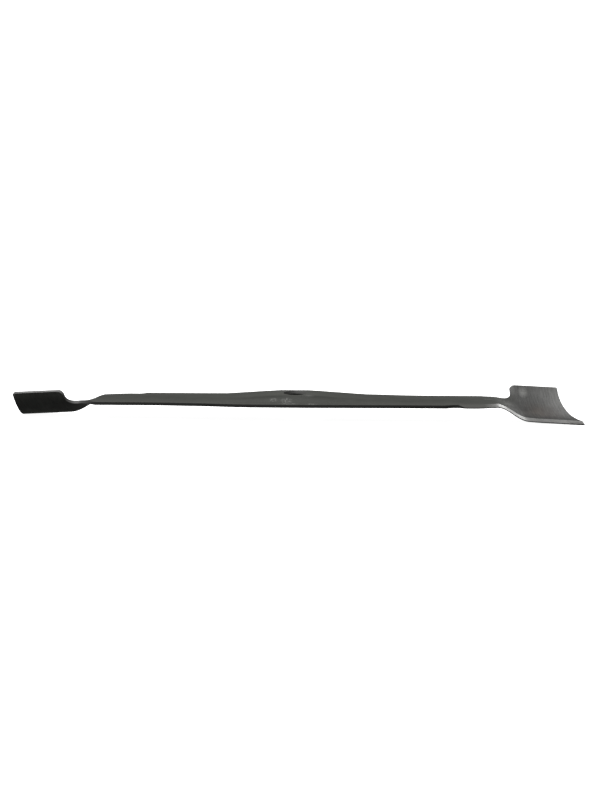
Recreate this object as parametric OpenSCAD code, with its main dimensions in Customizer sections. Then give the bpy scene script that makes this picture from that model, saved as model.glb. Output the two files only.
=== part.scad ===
// Rotary mower blade. One strip of steel that looks the same after half a turn.
// A crowned hub carries the bore and two flat arms taper outward. Beyond a narrow
// twisted neck each end is a scoop, low and ground sharp in front and high behind.
// The blade turns clockwise seen from above, so the front of the +X arm faces -Y.
// The origin is the centre of the bore, halfway through the thickness of the hub.

/* [Bar] */
// length from tip to tip
blade_len = 600; // [560:2:680]
// thickness of the steel
steel_t = 3.4; // [2.6:0.1:4.2]
// width of the bar beside the hub
bar_w = 59; // [56:1:66]
// distance from the axis to the start of the taper
taper_at = 40; // [20:1:60]
// length over which the rear edge comes in
taper_len = 115; // [90:1:130]
// how far the rear edge comes in
taper_in = 7; // [2:0.5:10]

/* [Hub] */
// diameter of the spigot that carries the blade
spigot_d = 24; // [16:0.5:26]
// play of the bore on the spigot, measured on the diameter
bore_play = 0.4; // [0.2:0.05:0.8]
// width of the flat seat around the bore
seat_w = 2.8; // [2.4:0.2:6]
// rise of the crown above the arms
crown_h = 6.5; // [2:0.25:7]
// distance from the axis at which the crown has run out
crown_run = 112; // [60:1:120]
// bulge of each long edge at the axis
hub_bulge = 1.25; // [0:0.25:4]

/* [Neck] */
// length of the neck, from the arm's rear shoulder to the middle of the hollow
neck_len = 24; // [22:0.5:36]
// radius of the arm's rear shoulder
shoulder_r = 12; // [6:1:14]
// radius of the hollow between neck and scoop
hollow_r = 10; // [7:0.5:12]
// offset of the rear edge from the middle line at the hollow
waist_rear = 13; // [10:0.5:16]
// offset of the front edge from the middle line at its narrowest place
waist_front = 22.5; // [17:0.5:25]
// distance from the narrowest place of the front edge to the middle of the hollow
waist_lead = 3; // [0:0.5:12]
// length over which the front edge narrows
front_run = 42; // [30:1:80]
// distance from the start of the twist to the middle of the hollow
twist_lead = 19; // [14:0.5:26]
// length over which the neck twists
twist_len = 36.5; // [32:0.5:48]
// drop of the middle line over the twist
twist_drop = 8; // [2:0.25:11]
// shift of the middle line towards the rear over the twist
twist_shift = 4.25; // [0:0.25:6]

/* [Scoop] */
// length of the raised rear edge
sail_len = 47.5; // [42:0.5:54]
// distance from the tip back to the rear outer corner
tip_back = 12.5; // [8:0.5:18]
// offset of the rear edge from the middle line
sail_c = 30.5; // [28:0.5:34]
// offset of the cutting edge from the middle line
edge_c = 26.5; // [24:0.5:30]
// length of the cutting edge below the scoop
edge_len = 41.5; // [36:0.5:48]
// slope of the scoop across the middle line, in degrees
scoop_tilt = 30.5; // [24:0.5:38]
// radius of the scoop's hollow
scoop_r = 47; // [40:1:80]
// fall of the scoop towards the tip, in degrees
scoop_fall = 3; // [0:0.25:5]
// radius of the rear inner corner
inner_r = 4; // [3:0.5:6]
// radius of the rear outer corner
outer_r = 2; // [1:0.25:4]
// hollow of the tip's outline
tip_hollow = 2.5; // [0:0.5:6]

/* [Cutting edge] */
// width of the ground bevel
bevel_w = 5; // [3:0.25:6]
// length of the ground edge, from the tip inwards
ground_len = 134; // [60:1:160]
// length over which the grinding starts
bevel_run = 8; // [4:1:24]
// thickness left at the cutting edge
edge_t = 1.2; // [0.4:0.1:1.6]

/* [Hidden] */
steel = [0.33, 0.33, 0.31];
bore_d = spigot_d + bore_play;
half_w = bar_w / 2;
seat_half = bore_d / 2 + seat_w;
tip_at = blade_len / 2;
heel_at = tip_at - edge_len;
outer_at = tip_at - tip_back;
inner_at = outer_at - sail_len;
hollow_at = inner_at - inner_r - hollow_r;
root_at = hollow_at - neck_len;
waist_at = hollow_at - waist_lead;
twist_at = hollow_at - twist_lead;
ground_at = tip_at - ground_len;
curl = 180 / PI / scoop_r;
crown_ease = 0.15;
seat_n = 2;
bar_n = 35;
shoulder_n = 4;
line_n = 2;
arc_n = 8;
riser_n = 3;
corner_n = 6;
sail_n = 12;
across_n = 16;
cut_over = 5;

// limits a share to 0 and 1, and eases it without a kink at either end
function share(x) = min(1, max(0, x));
function ease(x) = let (u = share(x)) u * u * (3 - 2 * u);

// points of an arc, from one angle to another
function arc(c, r, a0, a1, n) =
    [for (i = [0 : n]) let (a = a0 + (a1 - a0) * i / n) c + r * [cos(a), sin(a)]];

// points from p to q, without q
function run(p, q, n) = [for (i = [0 : n - 1]) p + (q - p) * i / n];

// bulge of the edges beside the bore
function bulge(r) = hub_bulge * (1 - ease(r / crown_run));

// offset of the front edge on the flat blank
function front_c(r) = half_w + bulge(r)
    + (waist_front - half_w) * ease((r - waist_at + front_run) / front_run)
    + (edge_c - waist_front) * ease((r - waist_at) / (heel_at - waist_at));

// offset of the rear edge of an arm on the flat blank
function arm_c(r) = half_w + bulge(r) - taper_in * ease((r - taper_at) / taper_len);

// the rear edge from the arm's shoulder to the rear inner corner
hollow_o = [hollow_at, waist_rear + hollow_r];
shoulder_o = [root_at, arm_c(root_at) - shoulder_r];
to_hollow = hollow_o - shoulder_o;
lean = atan2(to_hollow[1], to_hollow[0]) - asin((shoulder_r + hollow_r) / norm(to_hollow));
shoulder_p = shoulder_o + shoulder_r * [-sin(lean), cos(lean)];
hollow_p = hollow_o + hollow_r * [sin(lean), -cos(lean)];
riser_p = hollow_o + [hollow_r, 0];
riser_q = [inner_at - inner_r, sail_c - inner_r];
neck_rear = concat(
    arc(shoulder_o, shoulder_r, 90, 90 + lean, shoulder_n),
    run(shoulder_p + (hollow_p - shoulder_p) / line_n, hollow_p, line_n - 1),
    arc(hollow_o, hollow_r, lean - 90, 0, arc_n),
    run(riser_p + (riser_q - riser_p) / riser_n, riser_q, riser_n - 1),
    arc([inner_at, sail_c - inner_r], inner_r, 180, 90, corner_n)
);

// the rear edge of the scoop and its rounded outer corner
sail_rear = concat(
    [for (i = [1 : sail_n]) [inner_at + (sail_len - outer_r) * i / sail_n, sail_c]],
    [for (i = [1 : corner_n]) let (a = 90 - 90 * i / corner_n)
        [outer_at - outer_r + outer_r * cos(a), sail_c - outer_r + outer_r * sin(a)]]
);

// pairs of front and rear points on the flat blank, from the axis to the tip
function front_p(r) = [r, -front_c(r)];
seat_rows = [for (i = [0 : seat_n - 1]) let (r = seat_half * i / seat_n) [front_p(r), [r, arm_c(r)]]];
bar_rows = [for (i = [0 : bar_n - 1]) let (r = seat_half + (root_at - seat_half) * i / bar_n)
    [front_p(r), [r, arm_c(r)]]];
neck_last = len(neck_rear) - 1;
function neck_u(i) = (i / neck_last + (neck_rear[i][0] - root_at) / (inner_at - root_at)) / 2;
neck_rows = [for (i = [0 : neck_last])
    [front_p(root_at + (heel_at - root_at) * neck_u(i)), neck_rear[i]]];
sail_last = len(sail_rear);
sail_rows = [for (i = [1 : sail_last])
    [front_p(heel_at + edge_len * i / sail_last), sail_rear[i - 1]]];
rows = concat(seat_rows, bar_rows, neck_rows, sail_rows);

// stations across a row, with one at the foot of the bevel and its mirror image
function stations(w) = let (b = bevel_w / w)
    concat([0], [for (j = [0 : across_n]) b + (1 - 2 * b) * j / across_n], [1]);

// rise of the crown and its slope across the hub
function crown_u(r, c) = share((abs(c) - seat_half) / (half_w + bulge(r) - seat_half));
function crown_x(r) = let (u = share((crown_run - r) / (crown_run - seat_half)))
    crown_h * (u + crown_ease * (ease(u) - u));
function crown_z(r, c) = crown_x(r) * (1 - ease(crown_u(r, c)));
function crown_a(r, c) = let (u = crown_u(r, c))
    -sign(c) * atan(crown_x(r) * 6 * u * (1 - u) / (half_w + bulge(r) - seat_half));

// share of the twist that is done, and fall of the middle line towards the tip
function twist(r) = ease((r - twist_at) / twist_len);
function fall(r) = let (d = max(0, r - twist_at)) tan(scoop_fall) * d * d / (d + twist_len / 2);

// a point of the flat blank after pressing, h above its middle surface
function pressed(r, c, h) =
    let (s = twist(r), a = s * scoop_tilt, k = s * curl, e = a + k * c)
    let (y = k < 0.001 ? c * cos(a) : (sin(e) - sin(a)) * 180 / PI / k)
    let (z = k < 0.001 ? c * sin(a) : (cos(a) - cos(e)) * 180 / PI / k)
    let (n = e + crown_a(r, c))
    let (up = crown_z(r, c) - crown_h - fall(r) - twist_drop * s)
    [r, y + twist_shift * s - h * sin(n), z + up + h * cos(n)];

// share of the bevel that is ground, growing where the grinding starts
function ground(r) = ease((r - ground_at) / bevel_run);

// one ring of points around the strip: the top from front to rear, then the underside back
row_n = len(rows);
function hollowed(i) = pow(max(0, (i - (row_n - 1 - sail_last)) / sail_last), 2) * tip_hollow;
function blank(i, v) = let (p = rows[i][0] + (rows[i][1] - rows[i][0]) * v)
    [p[0] - 4 * hollowed(i) * v * (1 - v), p[1]];
function ring(i) =
    let (vs = stations(norm(rows[i][1] - rows[i][0])), m = len(vs) - 1)
    concat(
        [for (j = [0 : m]) let (p = blank(i, vs[j]))
            pressed(p[0], p[1], steel_t / 2 - (j == 0 ? ground(p[0]) * (steel_t - edge_t) : 0))],
        [for (j = [m : -1 : 0]) let (p = blank(i, vs[j])) pressed(p[0], p[1], -steel_t / 2)]
    );

// the same ring at the other end of the blade
function turned(q) = let (m = len(q) / 2)
    concat([for (j = [m - 1 : -1 : 0]) [-q[j][0], -q[j][1], q[j][2]]],
        [for (j = [2 * m - 1 : -1 : m]) [-q[j][0], -q[j][1], q[j][2]]]);

// the pressed strip without its bore
module strip() {
    far = [for (i = [row_n - 1 : -1 : 1]) turned(ring(i))];
    rings = concat(far, [for (i = [0 : row_n - 1]) ring(i)]);
    k = len(rings[0]);
    last = len(rings) - 1;
    sides = [for (i = [0 : last - 1], j = [0 : k - 1]) let (a = i * k + j, b = i * k + (j + 1) % k)
        each [[a, b, b + k], [a, b + k, a + k]]];
    caps = [for (e = [0, last], j = [0 : k / 2 - 2]) let (a = e * k + j, b = e * k + k - 1 - j)
        each e == 0 ? [[a, b, b - 1], [a, b - 1, a + 1]] : [[a, b - 1, b], [a, a + 1, b - 1]]];
    polyhedron([for (q = rings) each q], concat(sides, caps), convexity = 6);
}

module blade() color(steel) difference() {
    strip();
    translate([0, 0, -steel_t / 2 - cut_over])
        cylinder(d = bore_d, h = steel_t + 2 * cut_over, $fn = 96);
}

blade();
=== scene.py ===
# %% [markdown]
# # A rotary mower blade
# The blade is one strip of steel. Its maker blanks it flat, grinds the two cutting edges, and
# presses the crowned hub and the two twisted scoops. This lesson goes the same way: a flat
# blank, its bore, its thickness, the ground edges, and the press at the end. A shape that is
# simple while it is flat stays simple to unwrap too, so the finish can follow the metal.

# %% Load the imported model
import math

import bmesh
import bpy
from mathutils import Matrix, Vector, kdtree


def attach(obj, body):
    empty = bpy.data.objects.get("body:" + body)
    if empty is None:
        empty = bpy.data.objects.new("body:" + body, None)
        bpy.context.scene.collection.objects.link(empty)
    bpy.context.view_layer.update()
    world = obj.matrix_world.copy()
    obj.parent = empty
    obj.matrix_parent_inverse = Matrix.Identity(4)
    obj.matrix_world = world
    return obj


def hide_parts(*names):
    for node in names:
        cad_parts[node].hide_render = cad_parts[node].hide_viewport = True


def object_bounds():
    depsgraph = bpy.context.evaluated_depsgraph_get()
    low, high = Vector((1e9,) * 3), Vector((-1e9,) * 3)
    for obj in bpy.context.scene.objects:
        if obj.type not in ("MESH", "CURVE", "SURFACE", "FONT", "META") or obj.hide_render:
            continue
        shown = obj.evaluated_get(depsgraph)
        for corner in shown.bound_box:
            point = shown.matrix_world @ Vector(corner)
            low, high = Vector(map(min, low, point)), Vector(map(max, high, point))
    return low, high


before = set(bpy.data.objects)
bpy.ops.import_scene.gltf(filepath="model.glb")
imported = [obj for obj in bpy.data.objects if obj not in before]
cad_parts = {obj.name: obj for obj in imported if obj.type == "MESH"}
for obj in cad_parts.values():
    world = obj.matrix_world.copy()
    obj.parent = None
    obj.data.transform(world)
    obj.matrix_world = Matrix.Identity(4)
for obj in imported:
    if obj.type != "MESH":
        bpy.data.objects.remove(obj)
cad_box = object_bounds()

print("CAD box in metres:", [[round(v, 4) for v in corner] for corner in cad_box])

# %% [markdown]
# ## The sizes
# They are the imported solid's own, in millimetres. One half is described from the axis outward:
# `front` is the side that cuts and `rear` the side that is raised. The other half is the same
# shape after half a turn, so nothing is written twice.

# %% Sizes of one half
MM = 0.001
# The sheet and its tapering arm
thick, half_w, taper_at, taper_len, taper_in = 3.4, 29.5, 40.0, 115.0, 7.0
# The hub and its crown
bore_r, seat_w, crown_h, crown_run, hub_bulge = 12.2, 2.8, 6.5, 112.0, 1.25
# The neck
neck_len, shoulder_r, hollow_r, waist_rear = 24.0, 12.0, 10.0, 13.0
waist_front, waist_lead, front_run = 22.5, 3.0, 42.0
# The twist and the scoop
twist_lead, twist_len, twist_drop, twist_shift = 19.0, 36.5, 8.0, 4.25
scoop_tilt, scoop_r, scoop_fall = math.radians(30.5), 47.0, math.radians(3.0)
# The paddle and its corners
sail_len, tip_back, sail_c, edge_c, edge_len = 47.5, 12.5, 30.5, 26.5, 41.5
inner_r, outer_r, tip_hollow = 4.0, 2.0, 2.5
# The ground bevel
bevel_w, ground_len, bevel_run, edge_t = 5.0, 134.0, 8.0, 1.2
# Places, counted from the axis
tip_at = 300.0
seat_half = bore_r + seat_w
ground_at = tip_at - ground_len
heel_at = tip_at - edge_len
outer_at = tip_at - tip_back
round_at = outer_at - outer_r
inner_at = outer_at - sail_len
hollow_at = inner_at - inner_r - hollow_r
root_at = hollow_at - neck_len
waist_at = hollow_at - waist_lead
twist_at = hollow_at - twist_lead
print("end of the arm, waist, heel and tip at", root_at, waist_at, heel_at, tip_at)

# %% [markdown]
# ## The front edge and the arm
# The front edge is a smooth function of the distance from the axis: it is drawn in at the waist
# and comes out again at the heel. The rear edge of the arm is a smooth taper. One easing curve,
# level at both ends, serves all of these changes, so no kink shows where they start.

# %% Curves along the blank
def ease(x):
    u = min(1.0, max(0.0, x))
    return u * u * (3.0 - 2.0 * u)


def bulge(r):
    return hub_bulge * (1.0 - ease(r / crown_run))


def front_c(r):
    waist = (waist_front - half_w) * ease((r - waist_at + front_run) / front_run)
    heel = (edge_c - waist_front) * ease((r - waist_at) / (heel_at - waist_at))
    return half_w + bulge(r) + waist + heel


def arm_c(r):
    return half_w + bulge(r) - taper_in * ease((r - taper_at) / taper_len)


print("half width at the hub, front waist, heel:",
      [round(front_c(r), 2) for r in (0.0, waist_at, heel_at)])

# %% [markdown]
# ## The rear edge
# The rear edge of the neck is drawn the way a toolmaker would: a round shoulder, a short line
# that meets the shoulder and the hollow as a tangent, the hollow's arc, and two rounded corners.
# Arcs keep their true radius this way, which a spline through a few points would not.

# %% Draw the neck and the paddle
shoulder_n, line_n, hollow_n, riser_n = 12, 5, 26, 3
inner_n, sail_n, outer_n = 12, 44, 8


def line(p, q, n):
    return [p.lerp(q, i / n) for i in range(n)]


def arc(o, r, a0, a1, n):
    turns = [math.radians(a0 + (a1 - a0) * i / n) for i in range(n + 1)]
    return [o + r * Vector((math.cos(a), math.sin(a))) for a in turns]


shoulder = Vector((root_at, arm_c(root_at) - shoulder_r))
hollow = Vector((hollow_at, waist_rear + hollow_r))
reach = hollow - shoulder
tangent = math.asin((shoulder_r + hollow_r) / reach.length)
lean = math.degrees(math.atan2(reach.y, reach.x) - tangent)
shoulder_arc = arc(shoulder, shoulder_r, 90.0, 90.0 + lean, shoulder_n)
hollow_arc = arc(hollow, hollow_r, lean - 90.0, 0.0, hollow_n)
riser = hollow + Vector((hollow_r, 0.0))
riser_top = Vector((inner_at - inner_r, sail_c - inner_r))
neck_rear = shoulder_arc[:-1] + line(shoulder_arc[-1], hollow_arc[0], line_n)
neck_rear += hollow_arc[:-1] + line(riser, riser_top, riser_n)
neck_rear += arc(Vector((inner_at, sail_c - inner_r)), inner_r, 180.0, 90.0, inner_n)
sail_rear = line(Vector((inner_at, sail_c)), Vector((round_at, sail_c)), sail_n)[1:]
sail_rear += arc(Vector((round_at, sail_c - outer_r)), outer_r, 90.0, 0.0, outer_n)
print("points on the neck and the paddle:", len(neck_rear), len(sail_rear))

# %% [markdown]
# ## Rows of the blank
# Front and rear points are paired into rows. A grid whose rows follow the outline needs no
# trimming later. In the neck a row's front point is halfway between an even spacing and the place
# of its rear point, so that the rows fan out gently around the hollow.

# %% Pair the edges
seat_n, bar_n = 12, 90


def front_point(r):
    return Vector((r, -front_c(r)))


bar_r = [seat_half * i / seat_n for i in range(seat_n)]
bar_r += [seat_half + (root_at - seat_half) * i / bar_n for i in range(bar_n)]
rows = [(front_point(r), Vector((r, arm_c(r)))) for r in bar_r]
for i, rear in enumerate(neck_rear):
    u = (i / (len(neck_rear) - 1) + (rear.x - root_at) / (inner_at - root_at)) / 2
    rows.append((front_point(root_at + (heel_at - root_at) * u), rear))
for i, rear in enumerate(sail_rear, 1):
    rows.append((front_point(heel_at + edge_len * i / len(sail_rear)), rear))
last = len(rows) - 1
print("rows from the axis to a tip:", len(rows))

# %% [markdown]
# ## The blank as a grid
# A plain grid is laid over the blank: its columns become the rows above, and its lines run along
# the blade. One line lies at the foot of the ground bevel. In the middle the lines are set so
# that a square block of faces surrounds the bore. The slanted ends are a little hollow, and
# across the bevel they are ground square, so each tip is blunt.

# %% Stretch a grid over the outline
side_n, block_n = 8, 24
tip_blunt, blunt_run = 1.9, 0.25
across = 2 * side_n + block_n + 2


def station(j, width):
    foot = bevel_w / width
    inner = 2.0 * (half_w + hub_bulge - bevel_w)
    lo = 0.5 - seat_half / inner
    k = j - 1
    if k <= side_n:
        s = lo * k / side_n
    elif k <= side_n + block_n:
        s = lo + (1.0 - 2.0 * lo) * (k - side_n) / block_n
    else:
        s = 1.0 - lo * (2 * side_n + block_n - k) / side_n
    return 0.0 if j == 0 else 1.0 if j == across else foot + (1.0 - 2.0 * foot) * s


def blank_point(i, j):
    if i < 0:
        return -blank_point(-i, across - j)
    front, rear = rows[i]
    v = station(j, (rear - front).length)
    foot = station(1, (rear - front).length)
    p = front.lerp(rear, v)
    near_end = max(0.0, (i - last + len(sail_rear)) / len(sail_rear)) ** 2
    blunt = v / foot if v < foot else max(0.0, 1.0 - (v - foot) / blunt_run) ** 2
    end_x = tip_blunt * blunt - 4.0 * tip_hollow * v * (1.0 - v)
    return Vector((p.x + near_end * end_x, p.y))


def flat_key(p):
    return round(p.x, 3), round(p.y, 3)


bm = bmesh.new()
bmesh.ops.create_grid(bm, x_segments=2 * last, y_segments=across, size=1.0)
line_at = {}
for vert in bm.verts:
    i = round((vert.co.x + 1.0) * last) - last
    j = round((vert.co.y + 1.0) * across / 2)
    p = blank_point(i, j)
    vert.co = (p.x, p.y, thick / 2)
    line_at[flat_key(p)] = j if i >= 0 else across - j
print("grid:", len(bm.verts), "points,", len(bm.faces), "faces")

# %% [markdown]
# ## The bore
# A hole could be cut with a Boolean, but that leaves a ring of odd faces that catch the light.
# Here the square block is deleted and its border is drawn inward onto a circle. Each point of
# the border goes to its own angle, so the faces around the bore stay even.

# %% Open the bore
block_margin = 1.0


def off_centre(p):
    return max(abs(p.x), abs(p.y))


inside = [f for f in bm.faces if off_centre(f.calc_center_median()) < seat_half]
bmesh.ops.delete(bm, geom=inside, context="FACES")
border = [e for e in bm.edges if e.is_boundary
          and all(off_centre(v.co) < seat_half + block_margin for v in e.verts)]
drawn = bmesh.ops.extrude_edge_only(bm, edges=border)["geom"]
for vert in [g for g in drawn if isinstance(g, bmesh.types.BMVert)]:
    x, y = vert.co.x, vert.co.y
    if abs(x) >= abs(y):
        turn = math.radians(45.0 * y / abs(x))
        vert.co.x = math.copysign(bore_r * math.cos(turn), x)
        vert.co.y = bore_r * math.sin(turn)
    else:
        turn = math.radians(45.0 * x / abs(y))
        vert.co.x = bore_r * math.sin(turn)
        vert.co.y = math.copysign(bore_r * math.cos(turn), y)
print("bore edges:", len(border))

# %% [markdown]
# ## The thickness
# Solidify gives the sheet its thickness and closes its edges and the wall of the bore in one go.
# It does this while the blank is flat, where every wall stands at a right angle.

# %% Give the blank its thickness
bmesh.ops.recalc_face_normals(bm, faces=bm.faces[:])
if sum(f.normal.z for f in bm.faces) < 0.0:
    bmesh.ops.reverse_faces(bm, faces=bm.faces[:])
bmesh.ops.solidify(bm, geom=bm.faces[:], thickness=thick)
bmesh.ops.recalc_face_normals(bm, faces=bm.faces[:])
heights = sorted({round(v.co.z, 3) for v in bm.verts})
print("levels of the blank:", heights, "faces:", len(bm.faces))

# %% [markdown]
# ## The ground edges and a nick
# The top of each front edge is ground to a bevel, from the outer part of the arm to the tip.
# Grinding only lowers the outermost line of points, because the next line already lies at the
# bevel's foot. Where the bevel starts, one front edge has a shallow round nick, which is pushed
# into the same line of points.

# %% Grind the cutting edges and press in the nick
GROUND = 1
shows_ground, shows_crease = 0.04, 0.1
nick_at, nick_half, nick_deep = 164.0, 9.0, 3.0


def ground(r):
    return ease((r - ground_at) / bevel_run)


on_line = {v: line_at.get(flat_key(v.co), -1) for v in bm.verts}
top = {v for v in bm.verts if v.co.z > 0.0}
for face in bm.faces:
    if all(v in top for v in face.verts) and {on_line[v] for v in face.verts} == {0, 1}:
        if ground(abs(face.calc_center_median().x)) > shows_ground:
            face.material_index = GROUND
for edge in bm.edges:
    if all(v in top and on_line[v] == 1 and ground(abs(v.co.x)) > shows_crease
           for v in edge.verts):
        edge.smooth = False
for vert in bm.verts:
    if on_line[vert] == 0 and vert in top:
        vert.co.z -= ground(abs(vert.co.x)) * (thick - edge_t)
    if on_line[vert] == 0 and vert.co.x > 0.0:
        dent = max(0.0, 1.0 - ((vert.co.x - nick_at) / nick_half) ** 2)
        vert.co.y += nick_deep * dent
print("ground faces:", sum(f.material_index == GROUND for f in bm.faces))

# %% [markdown]
# ## Broken edges
# Sheared steel is deburred, so its square edges are not razor sharp. A small round on each of
# them catches a thin line of light. The bevel operator works on all of them at once, as the blank
# is still flat and the edges are found by their angle. The outermost corners are left out,
# because the rows of the grid run together there.

# %% Round the square edges
edge_round, round_n, square_angle = 0.3, 2, math.radians(48.0)
square = [e for e in bm.edges if e.is_manifold and e.calc_face_angle() > square_angle
          and max(abs(v.co.x) for v in e.verts) < round_at]
bmesh.ops.bevel(bm, geom=square, offset=edge_round, offset_type="OFFSET", affect="EDGES",
                segments=round_n, profile=0.5, material=-1, clamp_overlap=False)
print("rounded edges:", len(square), "faces:", len(bm.faces))

# %% [markdown]
# ## The flat map and the distance to the rim
# The finish follows the metal, so the flat blank itself is the UV map, in metres. Wear sits near
# the rim: each point also keeps its distance, in millimetres, to the nearest edge of the blank or
# of the bore. A second value tells the top of the blank from its underside.

# %% Store the flat map
wall_tilt = 0.5
flat_map = bm.loops.layers.uv.new("blank")
for face in bm.faces:
    for loop in face.loops:
        loop[flat_map].uv = (loop.vert.co.x * MM, loop.vert.co.y * MM)
bm.normal_update()
rim = {v for f in bm.faces if abs(f.normal.z) < wall_tilt for v in f.verts}
tree = kdtree.KDTree(len(rim))
for k, vert in enumerate(rim):
    tree.insert((vert.co.x, vert.co.y, 0.0), k)
tree.balance()
rim_gap = bm.verts.layers.float.new("rim_gap")
top_side = bm.verts.layers.float.new("top_side")
for vert in bm.verts:
    vert[rim_gap] = tree.find((vert.co.x, vert.co.y, 0.0))[2]
    vert[top_side] = vert.co.z / thick + 0.5
print("rim points:", len(rim))

# %% [markdown]
# ## The press
# Pressing bends each row of the blank in its own plane. In the hub it raises a crown with a flat
# seat. Along the neck it turns the row about the middle line while the row curls into an arc, so
# the front edge drops and the rear edge rises. The exact arc keeps the width of the steel. The
# solid's facets cut that arc a hair short, so no point may pass the top or bottom of the solid.

# %% Press the blank
crown_ease, least_curl = 0.15, 1e-6


def crown(r, c):
    run_out = half_w + bulge(r) - seat_half
    across_u = min(1.0, max(0.0, (abs(c) - seat_half) / run_out))
    u = min(1.0, max(0.0, (crown_run - r) / (crown_run - seat_half)))
    rise = crown_h * (u + crown_ease * (ease(u) - u))
    slope = math.atan(rise * 6.0 * across_u * (1.0 - across_u) / run_out)
    return rise * (1.0 - ease(across_u)), -math.copysign(slope, c)


def pressed(r, c, h):
    s = ease((r - twist_at) / twist_len)
    a, k = s * scoop_tilt, s / scoop_r
    e = a + k * c
    y = (math.sin(e) - math.sin(a)) / k if k > least_curl else c
    z = (math.cos(a) - math.cos(e)) / k if k > least_curl else 0.0
    d = max(0.0, r - twist_at)
    rise, slope = crown(r, c)
    n = e + slope
    z += rise - crown_h - math.tan(scoop_fall) * d * d / (d + twist_len / 2) - twist_drop * s
    return Vector((r, y + twist_shift * s - h * math.sin(n), z + h * math.cos(n)))


low_z, high_z = cad_box[0][2], cad_box[1][2]
for vert in bm.verts:
    turn = -1.0 if vert.co.x < 0.0 else 1.0
    p = pressed(turn * vert.co.x, turn * vert.co.y, vert.co.z)
    vert.co = (turn * p.x * MM, turn * p.y * MM, min(max(p.z * MM, low_z), high_z))
bmesh.ops.recalc_face_normals(bm, faces=bm.faces[:])
for face in bm.faces:
    face.smooth = True
print("volume in mm3:", round(bm.calc_volume(signed=True) * 1e9))

# %% [markdown]
# ## The finished piece
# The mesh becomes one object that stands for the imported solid. Weighted normals let the large
# faces decide how the small rounded edges are shaded, so flat steel looks flat.

# %% Make the blade object
mesh = bpy.data.meshes.new("mower_blade")
bm.to_mesh(mesh)
bm.free()
blade = bpy.data.objects.new("mower_blade", mesh)
bpy.context.scene.collection.objects.link(blade)
weigh = blade.modifiers.new("weighted_normals", "WEIGHTED_NORMAL")
weigh.mode = "FACE_AREA"
weigh.keep_sharp = True
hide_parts("blade")
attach(blade, "root")
print("blade triangles:", sum(len(p.vertices) - 2 for p in mesh.polygons))

# %% [markdown]
# ## Helpers for the finishes
# A finish is a small graph of nodes. These helpers keep the cells short: they add a node with its
# settings, link two sockets, read the flat map, and do sums with sockets. Values that are the
# same all over a surface are set on the shader itself.

# %% Node helpers
def add(mat, kind, values=None, **settings):
    node = mat.node_tree.nodes.new("ShaderNode" + kind)
    for key, value in settings.items():
        setattr(node, key, value)
    for key, value in (values or {}).items():
        node.inputs[key].default_value = value
    return node


def link(mat, out, into):
    mat.node_tree.links.new(out, into)


def new_finish(name):
    mat = bpy.data.materials.new(name)
    mat.use_nodes = True
    return mat, mat.node_tree.nodes["Principled BSDF"]


def flat_place(mat):
    return add(mat, "UVMap", uv_map="blank").outputs["UV"]


def flat_noise(mat, scale, detail=3.0, rough=0.55, place=(0.0, 0.0, 0.0)):
    put = add(mat, "Mapping", {"Scale": (scale[0], scale[1], 1.0), "Location": place})
    noise = add(mat, "TexNoise", {"Scale": 1.0, "Detail": detail, "Roughness": rough},
                noise_dimensions="2D")
    link(mat, flat_place(mat), put.inputs["Vector"])
    link(mat, put.outputs["Vector"], noise.inputs["Vector"])
    return noise.outputs["Fac"]


def flat_xy(mat):
    split = add(mat, "SeparateXYZ")
    link(mat, flat_place(mat), split.inputs["Vector"])
    return split.outputs["X"], split.outputs["Y"]


def remap(mat, value, span, to=(0.0, 1.0)):
    node = add(mat, "MapRange", {"From Min": span[0], "From Max": span[1],
                                 "To Min": to[0], "To Max": to[1]})
    link(mat, value, node.inputs["Value"])
    return node.outputs["Result"]


def math_node(mat, kind, a, b=0.0):
    node = add(mat, "Math", operation=kind)
    for socket, value in zip(node.inputs, (a, b)):
        if isinstance(value, (int, float)):
            socket.default_value = value
        else:
            link(mat, value, socket)
    return node.outputs["Value"]


def plus(mat, a, b):
    return math_node(mat, "ADD", a, b)


def times(mat, a, b):
    return math_node(mat, "MULTIPLY", a, b)


def blend(mat, share, a, b):
    node = add(mat, "Mix", data_type="RGBA")
    for name, value in (("A", a), ("B", b)):
        socket = [s for s in node.inputs if s.name == name and s.type == "RGBA"][0]
        if isinstance(value, tuple):
            socket.default_value = value
        else:
            link(mat, value, socket)
    link(mat, share, node.inputs["Factor"])
    return [s for s in node.outputs if s.type == "RGBA"][0]


print("helpers ready")

# %% [markdown]
# ## Dark rolled steel
# The body keeps the dark skin of rolled and tempered steel. It is mottled at the size of a
# fingertip, finely grained, and drawn in long streaks along the bar. On the scoops the streaks
# are stronger and run across. On the hub the flat of the crown is painted lighter and its
# slopes darker: painted light and shade, as top light falls on them. All of this is added up
# to one number, the tone, which picks a colour between two.

# %% Make the tone of the steel
NOISE = (0.3, 0.7)  # most values of a noise lie in this span
scoop_span, ridge_span, hub_span = (0.205, 0.245), (0.011, 0.018), (0.03, 0.10)
steel, shader = new_finish("dark_rolled_steel")
mottle = flat_noise(steel, (55.0, 75.0), 5.0, 0.6)
grain = flat_noise(steel, (1100.0, 1100.0), 2.0, 0.6)
along = flat_noise(steel, (14.0, 900.0), 3.0, 0.6, (3.1, 7.7, 0.0))
cross = flat_noise(steel, (640.0, 80.0), 3.0, 0.6, (5.3, 1.9, 0.0))
flat_x, flat_y = flat_xy(steel)
outward = math_node(steel, "ABSOLUTE", flat_x)
sideways = math_node(steel, "ABSOLUTE", flat_y)
from_axis = add(steel, "VectorMath", operation="LENGTH")
link(steel, flat_place(steel), from_axis.inputs[0])
from_axis = from_axis.outputs["Value"]

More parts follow.
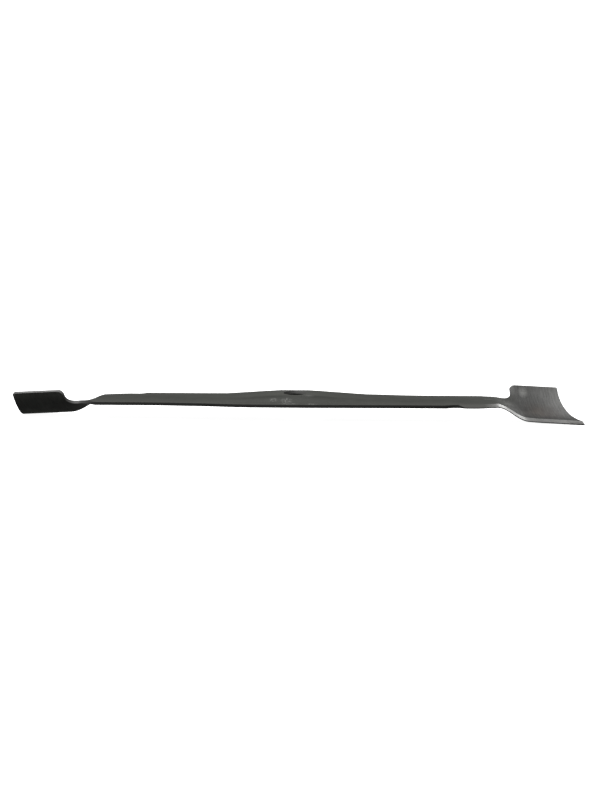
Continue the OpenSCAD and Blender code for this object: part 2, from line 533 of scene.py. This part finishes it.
on_scoop = remap(steel, outward, scoop_span)
streak = add(steel, "Mix", data_type="FLOAT")
link(steel, on_scoop, streak.inputs["Factor"])
link(steel, remap(steel, along, NOISE, (-0.10, 0.10)), streak.inputs["A"])
link(steel, remap(steel, cross, NOISE, (-0.22, 0.22)), streak.inputs["B"])
streak = streak.outputs["Result"]

tone = plus(steel, remap(steel, mottle, NOISE, (0.30, 0.62)), streak)
tone = plus(steel, tone, remap(steel, grain, NOISE, (-0.12, 0.12)))
# Painted light and shade on the hub: the flat of the crown lighter, its slopes darker.
painted_crown_shading = remap(steel, sideways, ridge_span, (0.42, -0.58))
near_hub = remap(steel, from_axis, hub_span, (1.0, 0.0))
tone = plus(steel, tone, times(steel, painted_crown_shading, near_hub))
bar_skin = blend(steel, tone, (0.045, 0.047, 0.042, 1.0), (0.100, 0.104, 0.093, 1.0))
print("nodes for the tone:", len(steel.node_tree.nodes))

# %% [markdown]
# ## The scoops
# The top face of each scoop is a lighter copy of the steel, as painted light. It gets lighter
# toward the raised edge, where the face is steepest, and the outer raised corner is lightest of
# all, while the inner raised corner is darker, a painted shade. The underside of the scoops keeps
# the colour of the bar. Each of these places is a soft step on the flat map, so no painted
# picture is needed.

# %% Make the skin of the scoops
low_tones = (0.026, 0.026, 0.025, 1.0), (0.068, 0.068, 0.065, 1.0)
high_tones = (0.074, 0.074, 0.072, 1.0), (0.186, 0.186, 0.180, 1.0)
tip_tones = (0.135, 0.135, 0.132, 1.0), (0.330, 0.330, 0.320, 1.0)
raised = times(steel, flat_y, math_node(steel, "SIGN", flat_x))
# Painted shade: the inner raised corner of each scoop, beside the riser, is darkened.
corner = times(steel, remap(steel, outward, (0.237, 0.249), (-0.45, 0.0)),
               remap(steel, raised, (0.006, 0.016)))
tone = plus(steel, tone, times(steel, corner, on_scoop))
# Painted light: the top face of a scoop takes a lighter copy of the steel, lightest toward the
# raised edge.
low_skin = blend(steel, tone, *low_tones)
high_skin = blend(steel, tone, *high_tones)
tip_skin = blend(steel, tone, *tip_tones)
scoop_skin = blend(steel, remap(steel, raised, (-0.016, 0.024)), low_skin, high_skin)
outer_corner_share = times(steel, remap(steel, outward, (0.258, 0.288)),
               remap(steel, raised, (-0.014, 0.012)))
scoop_skin = blend(steel, outer_corner_share, scoop_skin, tip_skin)
side = add(steel, "Attribute", attribute_name="top_side").outputs["Fac"]
# The underside keeps the bar's colour; only the top face carries the painted light.
scoop_skin = blend(steel, remap(steel, side, (0.2, 0.4)), bar_skin, scoop_skin)
skin = blend(steel, on_scoop, bar_skin, scoop_skin)
print("nodes with the scoops:", len(steel.node_tree.nodes))

# %% [markdown]
# ## Pale marks and a brown breath
# Small pale marks lie around the hub, on one neck and on one scoop, and a faint brown
# breath of rust lies in the same scoop. Each one is a soft round spot on the flat map, stretched
# to its size and broken up by noise.

# %% Add pale marks and rust
# Each spot has its place and its size.
pale_marks = [
    ((-0.022, -0.022), (0.005, 0.003)),
    ((-0.0085, -0.0235), (0.007, 0.005)),
    ((-0.006, -0.0285), (0.012, 0.002)),
    ((0.0145, -0.014), (0.006, 0.005)),
    ((0.017, -0.0290), (0.007, 0.002)),
    ((0.206, 0.004), (0.006, 0.004)),
]
dab_spot = (0.2485, 0.0225), (0.006, 0.008)
rust_spot = (0.262, -0.006), (0.026, 0.016)
pale_mark_grey, dab_grey = (0.25, 0.25, 0.24, 1.0), (0.28, 0.28, 0.27, 1.0)
rust_brown = (0.11, 0.080, 0.060, 1.0)


def spot(mat, place, size):
    put = add(mat, "Mapping", {"Scale": (1.0 / size[0], 1.0 / size[1], 1.0),
                               "Location": (-place[0] / size[0], -place[1] / size[1], 0.0)})
    ball = add(mat, "TexGradient", gradient_type="SPHERICAL")
    link(mat, flat_place(mat), put.inputs["Vector"])
    link(mat, put.outputs["Vector"], ball.inputs["Vector"])
    return ball.outputs["Fac"]


torn = flat_noise(steel, (700.0, 500.0), 4.0, 0.65, (9.2, 0.7, 0.0))
mark_share = 0.0
for place, size in pale_marks:
    mark_share = plus(steel, spot(steel, place, size), mark_share)
mark_share = times(steel, remap(steel, mark_share, (0.0, 0.6)), remap(steel, torn, (0.45, 0.62), (0.0, 0.75)))
skin = blend(steel, mark_share, skin, pale_mark_grey)
dab = remap(steel, spot(steel, *dab_spot), (0.0, 0.7))
dab = times(steel, dab, remap(steel, torn, (0.35, 0.60), (0.3, 0.85)))
skin = blend(steel, dab, skin, dab_grey)
rust = remap(steel, spot(steel, *rust_spot), (0.0, 0.7))
rust = times(steel, rust, remap(steel, mottle, (0.35, 0.65), (0.1, 0.3)))
skin = blend(steel, rust, skin, rust_brown)
print("scuffs:", len(pale_marks) + 1)

# %% [markdown]
# ## The rim
# The distance to the rim tells the sheared wall from the faces. Its colour is painted light and
# shade: along the bar the wall is nearly black, a painted shade, on the raised edges of the scoops
# it is a painted highlight, and in the bore it is painted lighter, as painted light. A
# wide soft band beside the rims of the bar and of the bore is worn a little lighter. Roughness
# and relief follow the tone of the skin.

# %% Finish the steel
worn_mm, wall_mm, bore_span = (0.3, 18.0), (0.05, 0.20), (0.014, 0.016)
# Painted shade on the bar's wall; painted light on the raised walls of the scoops and in the bore.
worn_grey, painted_wall_shade = (0.14, 0.14, 0.13, 1.0), (0.034, 0.034, 0.033, 1.0)
painted_rear_light, painted_bore_light = (0.19, 0.19, 0.186, 1.0), (0.15, 0.15, 0.145, 1.0)
gap = add(steel, "Attribute", attribute_name="rim_gap").outputs["Fac"]
worn = remap(steel, gap, worn_mm, (1.0, 0.0))
worn = times(steel, worn, remap(steel, grain, (0.40, 0.62), (0.14, 0.50)))
worn = times(steel, worn, remap(steel, on_scoop, (0.0, 1.0), (1.0, 0.0)))
skin = blend(steel, worn, skin, worn_grey)
wall = remap(steel, gap, wall_mm, (1.0, 0.0))
in_bore = remap(steel, from_axis, bore_span, (1.0, 0.0))
rear_wall = times(steel, on_scoop, remap(steel, raised, (0.005, 0.012)))
wall_skin = blend(steel, rear_wall, painted_wall_shade, painted_rear_light)
wall_skin = blend(steel, in_bore, wall_skin, painted_bore_light)
link(steel, blend(steel, wall, skin, wall_skin), shader.inputs["Base Color"])
link(steel, remap(steel, wall, (0.0, 1.0), (0.5, 0.2)), shader.inputs["Specular IOR Level"])
link(steel, remap(steel, tone, (0.2, 0.8), (0.60, 0.46)), shader.inputs["Roughness"])
shader.inputs["Metallic"].default_value = 0.35
bump = add(steel, "Bump", {"Strength": 0.10, "Distance": 0.0003})
link(steel, plus(steel, grain, times(steel, streak, 2.0)), bump.inputs["Height"])
link(steel, bump.outputs["Normal"], shader.inputs["Normal"])
mesh.materials.append(steel)
print("steel nodes:", len(steel.node_tree.nodes))

# %% [markdown]
# ## Ground edges
# A grinding wheel leaves bright metal with fine scratches across the edge. The scratches change
# the colour, the roughness and the relief together. On the arm the old grinding has darkened
# again, so the bright metal starts at the neck. On the curve of the heel a painted highlight
# makes it brightest.

# %% Make the ground finish
ground_tones = (0.21, 0.208, 0.202, 1.0), (0.35, 0.347, 0.338, 1.0)
patch_grey, old_grey = (0.16, 0.158, 0.152, 1.0), (0.085, 0.085, 0.079, 1.0)
# A painted highlight: the gleam on the curve of the heel.
painted_heel_glint = (0.52, 0.52, 0.51, 1.0)
bright, shader = new_finish("ground_edge_steel")
scratch = flat_noise(bright, (2300.0, 120.0), 3.0, 0.65)
patch = flat_noise(bright, (90.0, 200.0), 3.0, 0.55, (2.2, 4.1, 0.0))
outward = math_node(bright, "ABSOLUTE", flat_xy(bright)[0])
old = remap(bright, outward, (0.194, 0.206), (1.0, 0.0))
# Where the painted highlight of the heel lies.
heel = times(bright, remap(bright, outward, (0.203, 0.214)),
             remap(bright, outward, (0.232, 0.256), (0.9, 0.0)))
colour = blend(bright, remap(bright, scratch, NOISE), *ground_tones)
colour = blend(bright, remap(bright, patch, (0.45, 0.75), (0.0, 0.35)), colour, patch_grey)
colour = blend(bright, old, colour, old_grey)
colour = blend(bright, heel, colour, painted_heel_glint)
link(bright, colour, shader.inputs["Base Color"])
link(bright, remap(bright, old, (0.0, 1.0), (0.85, 0.35)), shader.inputs["Metallic"])
rough = plus(bright, remap(bright, scratch, NOISE, (0.42, 0.56)),
             remap(bright, old, (0.0, 1.0), (0.0, 0.15)))
link(bright, rough, shader.inputs["Roughness"])
bump = add(bright, "Bump", {"Strength": 0.2, "Distance": 0.0002})
link(bright, scratch, bump.inputs["Height"])
link(bright, bump.outputs["Normal"], shader.inputs["Normal"])
mesh.materials.append(bright)
print("ground edge nodes:", len(bright.node_tree.nodes))

# %% [markdown]
# ## The stage
# The blade lies on a pale floor that sweeps up all round it, so no horizon shows from any side.
# The floor is one profile, spun about the axis. It is kept out of the bounced light, because a
# bright floor would light the faces that look down.

# %% Lay the floor
floor_z = cad_box[0][2]
flat_mid, flat_r, bend_r, wall_top, spin_n = 1.5, 3.2, 1.2, 6.0, 64
profile = [(0.0, 0.0), (flat_mid, 0.0), (flat_r, 0.0)]
for degrees in range(6, 91, 6):
    a = math.radians(degrees)
    profile.append((flat_r + bend_r * math.sin(a), bend_r - bend_r * math.cos(a)))
profile.append((flat_r + bend_r, wall_top))
stage = bmesh.new()
points = [stage.verts.new((x, 0.0, floor_z + z)) for x, z in profile]
edges = [stage.edges.new(pair) for pair in zip(points, points[1:])]
bmesh.ops.spin(stage, geom=points + edges, cent=(0.0, 0.0, 0.0), axis=(0.0, 0.0, 1.0),
               angle=2.0 * math.pi, steps=spin_n)
bmesh.ops.remove_doubles(stage, verts=stage.verts[:], dist=1e-5)
bmesh.ops.recalc_face_normals(stage, faces=stage.faces[:])
if min(stage.faces, key=lambda f: f.calc_center_median().length).normal.z < 0.0:
    bmesh.ops.reverse_faces(stage, faces=stage.faces[:])
for face in stage.faces:
    face.smooth = True
floor_mesh = bpy.data.meshes.new("floor")
stage.to_mesh(floor_mesh)
stage.free()
floor = bpy.data.objects.new("floor", floor_mesh)
bpy.context.scene.collection.objects.link(floor)
floor.visible_diffuse = False
floor.visible_glossy = False
floor.visible_shadow = False
print("floor at z =", round(floor_z, 5))

# %% [markdown]
# ## The floor's finish
# The floor glows by itself, so it is evenly white wherever the lights stand. Lamps that are strong
# enough to make it white would turn the dark steel pale.

# %% Make the floor white
paper, shader = new_finish("pale_floor")
shader.inputs["Base Color"].default_value = (0.9, 0.9, 0.9, 1.0)
shader.inputs["Roughness"].default_value = 0.9
shader.inputs["Specular IOR Level"].default_value = 0.0
shader.inputs["Emission Color"].default_value = (1.0, 1.0, 1.0, 1.0)
shader.inputs["Emission Strength"].default_value = 0.97
floor_mesh.materials.append(paper)
print("floor material:", paper.name)

# %% [markdown]
# ## Light
# One large soft light hangs high in front of the blade. It makes the top faces evenly grey, gives
# the ground heel its gleam, and leaves faces that look down in shade. A small, weak one stands
# behind on the right. A weak dome fills the rest.

# %% Hang the lights
dome_strength = 0.092


def soft_light(name, place, aim, size, power):
    lamp = bpy.data.lights.new(name, "AREA")
    lamp.shape, lamp.size, lamp.size_y, lamp.energy = "RECTANGLE", size[0], size[1], power
    lamp_ob = bpy.data.objects.new(name, lamp)
    lamp_ob.location = place
    lamp_ob.rotation_euler = (Vector(aim) - Vector(place)).to_track_quat("-Z", "Y").to_euler()
    bpy.context.scene.collection.objects.link(lamp_ob)


soft_light("front_top", (-1.2, -1.4, 2.6), (0.0, 0.0, 0.0), (2.2, 1.6), 140.0)
soft_light("back_right", (1.75, 1.25, 1.3), (0.25, 0.0, 0.0), (0.7, 0.7), 11.0)
world = bpy.data.worlds.new("dome")
bpy.context.scene.world = world
world.use_nodes = True
sky = world.node_tree.nodes["Background"]
sky.inputs["Color"].default_value = (1.0, 1.0, 1.0, 1.0)
sky.inputs["Strength"].default_value = dome_strength

# %% [markdown]
# ## Camera
# The camera stands low in front of the blade. Its height, distance and lens are those that lay
# the outline of the solid on the outline in the picture. The plain view transform keeps the pale
# floor white and the edges of the blade smooth in front of it.

# %% Place the camera
azimuth, elevation, roll = math.radians(0.072), math.radians(11.6), math.radians(0.346)
distance, target = 0.600, Vector((0.005343, 0.0, -0.006134))
lens_px, long_side_px, sensor_mm = 563.85, 800.0, 36.0
level = math.cos(elevation)
ahead = Vector((-math.sin(azimuth) * level, math.cos(azimuth) * level, -math.sin(elevation)))
right = Vector((math.cos(azimuth), math.sin(azimuth), 0.0))
up = right.cross(ahead)
cos_r, sin_r = math.cos(roll), math.sin(roll)
right, up = right * cos_r + up * sin_r, up * cos_r - right * sin_r
lens = bpy.data.cameras.new("camera")
lens.sensor_width = sensor_mm
lens.lens = lens_px * sensor_mm / long_side_px
camera = bpy.data.objects.new("camera", lens)
pose = Matrix((right, up, -ahead)).transposed().to_4x4()
pose.translation = target - ahead * distance
camera.matrix_world = pose
bpy.context.scene.collection.objects.link(camera)
bpy.context.scene.camera = camera
bpy.context.scene.view_settings.view_transform = "Standard"
print("camera at", [round(v, 4) for v in pose.translation], "lens", round(lens.lens, 2))
